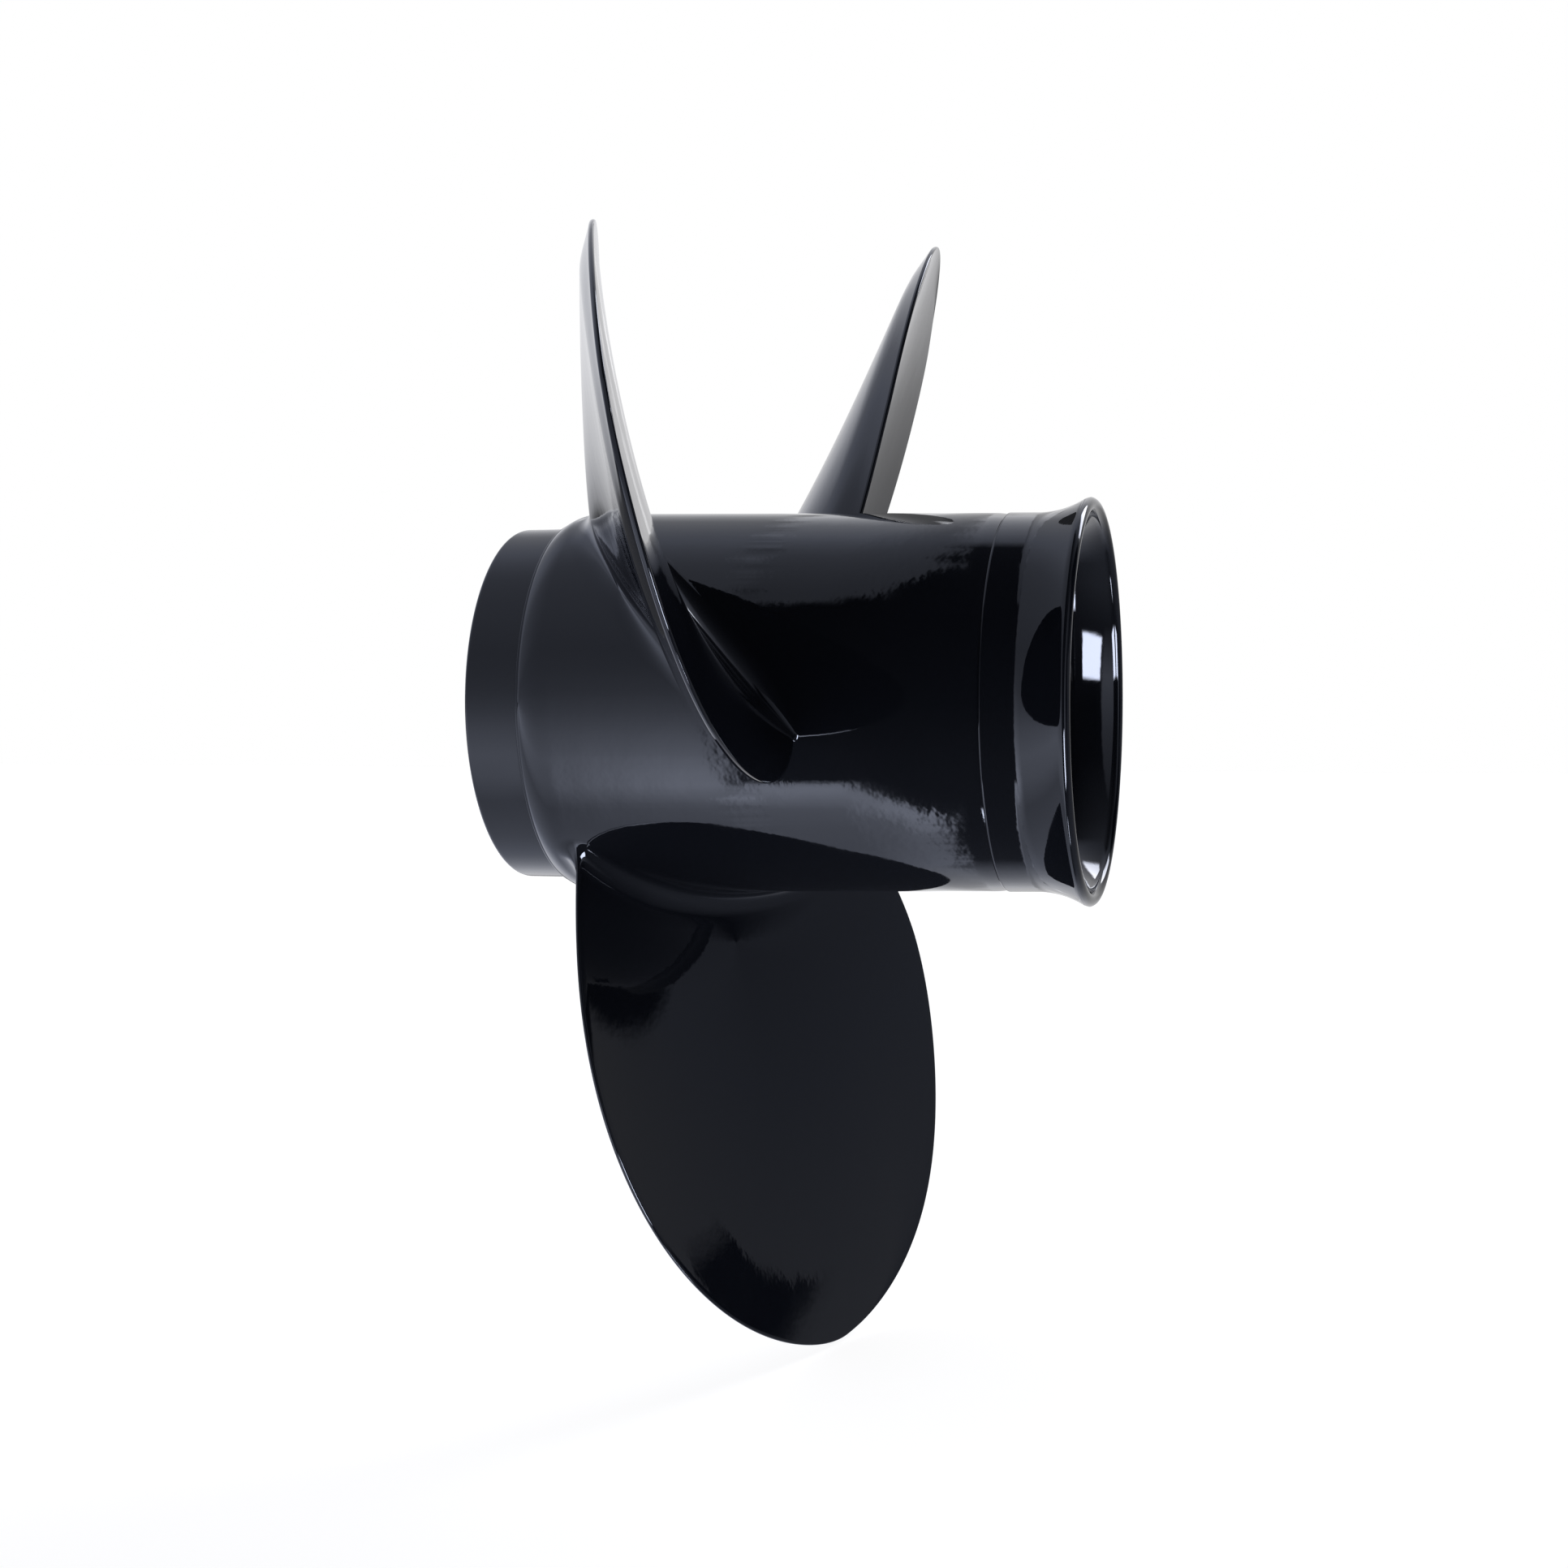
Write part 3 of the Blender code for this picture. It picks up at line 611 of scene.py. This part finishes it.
SLEEVE_AFT_X = 0.0930
SLEEVE_MOUTH = 0.0120          # cone at the thrust end
CONE_SLOPE = 1.7               # its run along the shaft for each unit of radius
SPLINE_CREST = 0.0098          # tooth tips
SPLINE_ROOT = 0.0111           # groove bottoms
SPLINE_TEETH = 13
TOOL_SCALE = 5000.0            # the tool's rings, 0.2 mm apart
TOOL_DEPTH = 0.000003
TARNISH_SCALE = 180.0          # clouds of tarnish, about 6 mm across

brass = bpy.data.materials.new("turned_brass")
brass.use_nodes = True
alloy = brass.node_tree
shader = alloy.nodes["Principled BSDF"]
shader.inputs["Metallic"].default_value = 1.0
solid = add_node(alloy, "ShaderNodeTexCoord").outputs["Object"]
axes = add_node(alloy, "ShaderNodeSeparateXYZ", {}, {}, {"Vector": solid})
flat = add_node(alloy, "ShaderNodeCombineXYZ", {}, {},
                {"Y": axes.outputs["Y"], "Z": axes.outputs["Z"]})
radius = add_node(alloy, "ShaderNodeVectorMath", {"operation": "LENGTH"}, {},
                  {0: flat.outputs["Vector"]})
ring = add_node(alloy, "ShaderNodeCombineXYZ", {}, {},
                {"X": axes.outputs["X"], "Y": radius.outputs["Value"]})
# the tool leaves fine rings on ends and cylinders alike; a light tarnish gathers in clouds
marks = add_node(alloy, "ShaderNodeTexNoise", {}, {"Scale": TOOL_SCALE, "Detail": 2.0},
                 {"Vector": ring.outputs["Vector"]})
turned = add_node(alloy, "ShaderNodeBump", {}, {"Strength": 1.0, "Distance": TOOL_DEPTH},
                  {"Height": marks.outputs["Fac"]})
alloy.links.new(turned.outputs["Normal"], shader.inputs["Normal"])
tarnish = add_node(alloy, "ShaderNodeTexNoise", {}, {"Scale": TARNISH_SCALE, "Detail": 4.0},
                   {"Vector": solid})
shade = add_node(alloy, "ShaderNodeMix", {"data_type": "RGBA"},
                 {"A": linear("#d9b56a"), "B": linear("#a67c3d")}, {"Factor": tarnish.outputs["Fac"]})
alloy.links.new(shade.outputs["Result"], shader.inputs["Base Color"])
dull = add_node(alloy, "ShaderNodeMapRange", {}, {"To Min": 0.2, "To Max": 0.42},
                {"Value": tarnish.outputs["Fac"]})
alloy.links.new(dull.outputs["Result"], shader.inputs["Roughness"])

# half a space and half a tooth, by share of the spacing: how deep the spline is cut, 1 at its bottom
tooth = [(0.0, 1.0), (0.10, 1.0), (0.20, 1.0), (0.262, 1.0), (0.282, 0.86), (0.292, 0.14),
         (0.318, 0.0), (0.40, 0.0), (0.50, 0.0)]
tooth += [(1 - place, depth) for place, depth in reversed(tooth[1:-1])]
spacing = 2 * math.pi / SPLINE_TEETH
turns = [(k + place) * spacing for k in range(SPLINE_TEETH) for place, _ in tooth]
turns = np.array(turns + [2 * math.pi])
depths = np.array([depth for k in range(SPLINE_TEETH) for _, depth in tooth] + [tooth[0][1]])


def sleeve_ring(x, radius, cut=0.0):
    """A ring of the sleeve at x; cut is how far the spline's spaces stand open there."""
    own = radius + (SPLINE_ROOT - SPLINE_CREST) * depths * cut
    own = np.where(cut > 0, np.maximum(own, radius), radius)
    return np.column_stack([np.full_like(turns, x), -own * np.sin(turns), own * np.cos(turns)])


def space_open(radius):
    """How far the spline's spaces stand open where a coned end has this radius."""
    return min(max((SPLINE_ROOT - radius) / (SPLINE_ROOT - SPLINE_CREST), 0.0), 1.0)


cone = (SLEEVE_MOUTH - SPLINE_CREST) * CONE_SLOPE
lead = BORE_BREAK * 2
shoulder = SLEEVE_RADIUS - BORE_BREAK
rings = [sleeve_ring(x, r) for x, r in arc(SLEEVE_AFT_X - BORE_BREAK, shoulder, BORE_BREAK, 0, 90, 4)]
rings += [sleeve_ring(x, SLEEVE_RADIUS) for x in np.linspace(SLEEVE_AFT_X - 0.002, 0.002, 5)]
rings += [sleeve_ring(x, r) for x, r in arc(BORE_BREAK, shoulder, BORE_BREAK, 90, 180, 4)]
rings += [sleeve_ring(0.0, (SLEEVE_RADIUS + SLEEVE_MOUTH) / 2 - 0.0004), sleeve_ring(0.0, SLEEVE_MOUTH)]
for share in np.linspace(0, 1, 7)[1:]:
    radius = SLEEVE_MOUTH + (SPLINE_CREST - SLEEVE_MOUTH) * share
    rings.append(sleeve_ring(cone * share, radius, space_open(radius)))
for x in np.linspace(cone + 0.001, SLEEVE_AFT_X - lead - 0.001, 6):
    rings.append(sleeve_ring(x, SPLINE_CREST, 1.0))
for share in np.linspace(0, 1, 5):
    radius = SPLINE_CREST + lead * share
    rings.append(sleeve_ring(SLEEVE_AFT_X - lead * (1 - share), radius, space_open(radius)))
rings.append(sleeve_ring(SLEEVE_AFT_X, (SLEEVE_RADIUS + SPLINE_ROOT) / 2))
rings.append(rings[0])
sleeve = bend_grid("splined_sleeve_brass", rings)
finish_piece(sleeve, brass, "sleeve_brass", "splined_sleeve", sharp=30)


# Camera: the photograph's own, from a fit to the propeller's outlines. It stands off the side,
# aft of the blades, and looks a little forward and down.

LENS_PIXELS = 2825.18          # focal length in pixels of the photograph, and its width
PHOTO_PIXELS = 1932
SENSOR = 36.0
PAN = -0.26882                 # radians
TILT = -0.03862
ROLL = -0.00251
CAMERA_PLACE = (0.19477, -0.49052, 0.00169)

lens = bpy.data.cameras.new("photo_camera")
lens.sensor_width = SENSOR
lens.lens = LENS_PIXELS / PHOTO_PIXELS * SENSOR
lens.clip_start = 0.01
lens.clip_end = 20.0
camera = bpy.data.objects.new("photo_camera", lens)
bpy.context.scene.collection.objects.link(camera)
ahead = Vector((math.sin(PAN) * math.cos(TILT), math.cos(PAN) * math.cos(TILT), math.sin(TILT)))
level = Vector((math.cos(PAN), -math.sin(PAN), 0.0))
rise = level.cross(ahead)
right = level * math.cos(ROLL) + rise * math.sin(ROLL)
up = rise * math.cos(ROLL) - level * math.sin(ROLL)
turn = Matrix((right, up, -ahead)).transposed().to_4x4()
camera.matrix_world = Matrix.Translation(CAMERA_PLACE) @ turn
bpy.context.scene.camera = camera


# Studio: what the enamel mirrors, and so both the light and the look. It is a set of zones of
# direction, each with its own brightness round the shaft: 0 degrees is towards the camera, 90 is
# overhead, 180 is behind. The camera itself sees plain white, and the pale floor glows by itself.

FLOOR_Z = -0.1486
FRONT_TINT = (0.92, 1.0, 1.26)
BACK_TINT = (1.0, 1.0, 1.02)
# how far along the shaft a direction leans where a zone fades in, from none to full, and out,
# then the zone's brightness by angle round the shaft
ZONES = (
    # grey wall to the left, with a bright floor before it
    ((-3.0, -2.0, -0.259, -0.242),
     ((-180, 0.07), (-170, 0.07), (-165, 0.5), (-160, 1.0), (-147, 1.2), (-120, 0.75), (-100, 0.72),
      (-88, 0.72), (-66, 0.68), (-48, 1.2), (-33, 1.4), (-18, 1.1), (-5, 0.72), (7, 0.5), (20, 0.42),
      (33, 0.39), (46, 0.43), (60, 0.46), (90, 0.48), (112, 0.6), (130, 0.55), (142, 0.5), (155, 0.7),
      (163, 0.87), (171, 0.82), (174.5, 0.66), (177, 0.46), (178.6, 0.10), (180, 0.07))),
    # the room where the camera stands, between a lit floor and a grey ceiling
    ((-0.259, -0.242, -0.176, -0.160),
     ((-180, 0.6), (-170, 0.75), (-160, 1.0), (-150, 1.2), (-117, 0.72), (-97, 0.78), (-80, 1.05),
      (-66, 1.4), (-52.5, 2.9), (-49.5, 2.6), (-47, 0.07), (-40, 0.05), (-16, 0.03), (0, 0.02),
      (50, 0.015), (60, 0.015), (63, 0.36), (70, 0.37), (82, 0.41), (98, 0.46), (119, 0.68), (133, 0.70),
      (146, 0.95), (152, 1.15), (160, 0.95), (166, 0.76), (172, 0.72), (180, 0.6))),
    # the same room farther right, where floor and ceiling end
    ((-0.176, -0.160, -0.05, 0.62),
     ((-180, 0.56), (-176, 0.54), (-165, 0.8), (-150, 1.2), (-122, 0.6), (-108, 0.08), (-80, 0.06),
      (-40, 0.05), (-16, 0.03), (0, 0.02), (50, 0.015), (90, 0.03), (106, 0.04), (112, 0.5),
      (119, 0.65), (140, 0.95), (152, 1.2), (163, 0.9), (172, 0.8), (176, 0.72), (180, 0.56))),
    # dim grey far to the right
    ((-0.05, 0.62, 2.0, 3.0),
     ((-180, 0.18), (-120, 0.18), (-90, 0.20), (-60, 0.08), (-40, 0.04), (0, 0.0), (40, 0.02),
      (90, 0.12), (110, 0.21), (150, 0.22), (180, 0.18))),
    # the floor before the wall grows brighter towards the propeller
    ((-0.36, -0.255, -0.259, -0.242),
     ((-180, 0.0), (-80, 0.2), (-62, 0.7), (-50, 1.6), (-42, 1.4), (-30, 0.6), (-15, 0.25), (10, 0.08),
      (25, 0.0), (180, 0.0))),
    # a lamp's glare on the floor, which lights the fillet at the lower blade's leading root
    ((0.112, 0.122, 0.18, 0.20),
     ((-180, 0.0), (-86, 0.0), (-82, 22.0), (-70, 22.0), (-65, 0.0), (180, 0.0))),
    # a low window and a tall one behind, both to the right, and the lit wall beside the first
    ((0.32, 0.34, 0.64, 0.66),
     ((-180, 0.0), (-51, 0.0), (-49, 21.0), (-18, 21.0), (-16, 0.0), (180, 0.0))),
    ((0.22, 0.25, 0.56, 0.60),
     ((-180, 0.0), (129, 0.0), (132, 7.0), (149, 7.0), (153, 0.0), (180, 0.0))),
    ((0.66, 0.69, 0.82, 0.90),
     ((-180, 0.0), (-60, 0.0), (-20, 0.85), (0, 0.65), (23, 0.42), (49, 0.28), (73, 0.12), (100, 0.0),
      (180, 0.0))),
    # a dark doorway behind, which takes light away instead
    ((0.730, 0.740, 0.784, 0.790),
     ((-180, 1.0), (-170.5, 1.0), (-168.5, 0.0), (178, 0.0), (179.5, 1.0), (180, 1.0))),
)

world = bpy.data.worlds.new("photo_studio")
bpy.context.scene.world = world
world.use_nodes = True
sky = world.node_tree
sky.nodes.clear()
way = add_node(sky, "ShaderNodeTexCoord").outputs["Generated"]
axes = add_node(sky, "ShaderNodeSeparateXYZ", {}, {}, {"Vector": way})
across = axes.outputs["X"]
toward = add_node(sky, "ShaderNodeMath", {"operation": "MULTIPLY"}, {1: -1.0}, {0: axes.outputs["Y"]})
radians = add_node(sky, "ShaderNodeMath", {"operation": "ARCTAN2"}, {},
                   {0: axes.outputs["Z"], 1: toward.outputs[0]})
angle = add_node(sky, "ShaderNodeMath", {"operation": "DEGREES"}, {}, {0: radians.outputs[0]})
# the room's edges aren't quite straight: each wanders along its own length
ragged = add_node(sky, "ShaderNodeTexNoise", {"noise_dimensions": "1D"},
                  {"Scale": 75.0, "Detail": 3.0}, {"W": across})
fringe = add_node(sky, "ShaderNodeTexNoise", {"noise_dimensions": "1D"},
                  {"Scale": 0.08, "Detail": 3.0}, {"W": angle.outputs[0]})
shift = add_node(sky, "ShaderNodeMath", {"operation": "MULTIPLY_ADD"}, {1: 0.026},
                 {0: fringe.outputs["Fac"], 2: across})
edge = add_node(sky, "ShaderNodeMath", {"operation": "SUBTRACT"}, {1: 0.013}, {0: shift.outputs[0]})
lift = add_node(sky, "ShaderNodeMath", {"operation": "MULTIPLY_ADD"}, {1: 9.0, 2: -4.5},
                {0: ragged.outputs["Fac"]})
# the dark opening of the room widens as it runs to the right
narrow = add_node(sky, "ShaderNodeMapRange", {"interpolation_type": "SMOOTHSTEP"},
                  {"From Min": -0.215, "From Max": -0.160, "To Min": 1.0, "To Max": 0.68},
                  {"Value": across})
drawn = add_node(sky, "ShaderNodeMath", {"operation": "MULTIPLY_ADD"}, {},
                 {0: angle.outputs[0], 1: narrow.outputs["Result"], 2: lift.outputs[0]})
# zones 1 and 2 are the room with the ragged edges, and the last is the doorway
room = None
for k, (span, stops) in enumerate(ZONES):
    round_shaft = drawn if k == 1 else angle
    along_shaft = edge.outputs[0] if k in (1, 2) else across
    share = add_node(sky, "ShaderNodeMapRange", {}, {"From Min": -180.0, "From Max": 180.0},
                     {"Value": round_shaft.outputs[0]})
    scale = add_node(sky, "ShaderNodeValToRGB", {}, {}, {"Fac": share.outputs["Result"]})
    most = max(level for _, level in stops)
    scale.color_ramp.elements.remove(scale.color_ramp.elements[-1])
    for j, (at, level) in enumerate(stops):
        stop = scale.color_ramp.elements.new((at + 180) / 360) if j else scale.color_ramp.elements[0]
        stop.position = (at + 180) / 360
        stop.color = (level / most, level / most, level / most, 1.0)
    starts = add_node(sky, "ShaderNodeMapRange", {"interpolation_type": "SMOOTHSTEP"},
                      {"From Min": span[0], "From Max": span[1], "To Max": most}, {"Value": along_shaft})
    ends = add_node(sky, "ShaderNodeMapRange", {"interpolation_type": "SMOOTHSTEP"},
                    {"From Min": span[2], "From Max": span[3], "To Min": 1.0, "To Max": 0.0},
                    {"Value": along_shaft})
    inside = add_node(sky, "ShaderNodeMath", {"operation": "MULTIPLY"}, {},
                      {0: starts.outputs["Result"], 1: ends.outputs["Result"]})
    zone = add_node(sky, "ShaderNodeMath", {"operation": "MULTIPLY"}, {},
                    {0: inside.outputs[0], 1: scale.outputs["Color"]})
    if room is None:
        room = zone
    elif k == len(ZONES) - 1:
        spared = add_node(sky, "ShaderNodeMath", {"operation": "SUBTRACT"}, {0: 1.0},
                          {1: zone.outputs[0]})
        room = add_node(sky, "ShaderNodeMath", {"operation": "MULTIPLY"}, {},
                        {0: room.outputs[0], 1: spared.outputs[0]})
    else:
        room = add_node(sky, "ShaderNodeMath", {"operation": "ADD"}, {},
                        {0: room.outputs[0], 1: zone.outputs[0]})
# behind and to the right, the wall stops below a dark ceiling
beyond = add_node(sky, "ShaderNodeMapRange", {"interpolation_type": "SMOOTHSTEP"},
                  {"From Min": 0.60, "From Max": 0.66}, {"Value": across})
above = add_node(sky, "ShaderNodeMapRange", {"interpolation_type": "SMOOTHSTEP"},
                 {"From Min": 0.195, "From Max": 0.225}, {"Value": axes.outputs["Z"]})
behind = add_node(sky, "ShaderNodeMapRange", {}, {"From Min": 0.02, "From Max": -0.04},
                  {"Value": toward.outputs[0]})
corner = add_node(sky, "ShaderNodeMath", {"operation": "MULTIPLY"}, {},
                  {0: beyond.outputs["Result"], 1: above.outputs["Result"]})
ceiling = add_node(sky, "ShaderNodeMath", {"operation": "MULTIPLY"}, {},
                   {0: corner.outputs[0], 1: behind.outputs["Result"]})
below = add_node(sky, "ShaderNodeMath", {"operation": "SUBTRACT"}, {0: 1.0}, {1: ceiling.outputs[0]})
lit = add_node(sky, "ShaderNodeMath", {"operation": "MULTIPLY"}, {},
               {0: room.outputs[0], 1: below.outputs[0]})
# the light from straight behind is white, the rest is bluish
before = add_node(sky, "ShaderNodeMapRange", {}, {"From Min": -0.95, "From Max": -0.4},
                  {"Value": toward.outputs[0]})
tint = add_node(sky, "ShaderNodeMix", {"data_type": "RGBA"},
                {"A": (*BACK_TINT, 1.0), "B": (*FRONT_TINT, 1.0)}, {"Factor": before.outputs["Result"]})
mirrored = add_node(sky, "ShaderNodeBackground", {}, {},
                    {"Color": tint.outputs["Result"], "Strength": lit.outputs[0]})
seen = add_node(sky, "ShaderNodeBackground", {}, {"Color": (1.0, 1.0, 1.0, 1.0), "Strength": 1.0})
by_camera = add_node(sky, "ShaderNodeLightPath")
both = add_node(sky, "ShaderNodeMixShader", {}, {},
                {0: by_camera.outputs["Is Camera Ray"], 1: mirrored.outputs[0], 2: seen.outputs[0]})
add_node(sky, "ShaderNodeOutputWorld", {}, {}, {"Surface": both.outputs[0]})
bpy.context.scene.view_settings.view_transform = "Standard"

deselect()
bpy.ops.mesh.primitive_plane_add(size=8.0, location=(0.0, 0.0, FLOOR_Z))
floor = bpy.context.object
floor.name = "studio_floor"
paper = bpy.data.materials.new("white_paper")
paper.use_nodes = True
shader = paper.node_tree.nodes["Principled BSDF"]
shader.inputs["Base Color"].default_value = linear("#adaaa4")
shader.inputs["Roughness"].default_value = 0.9
shader.inputs["Specular IOR Level"].default_value = 0.0
shader.inputs["Emission Color"].default_value = (1.0, 1.0, 1.0, 1.0)
shader.inputs["Emission Strength"].default_value = 0.86
floor.data.materials.append(paper)
floor.visible_glossy = False
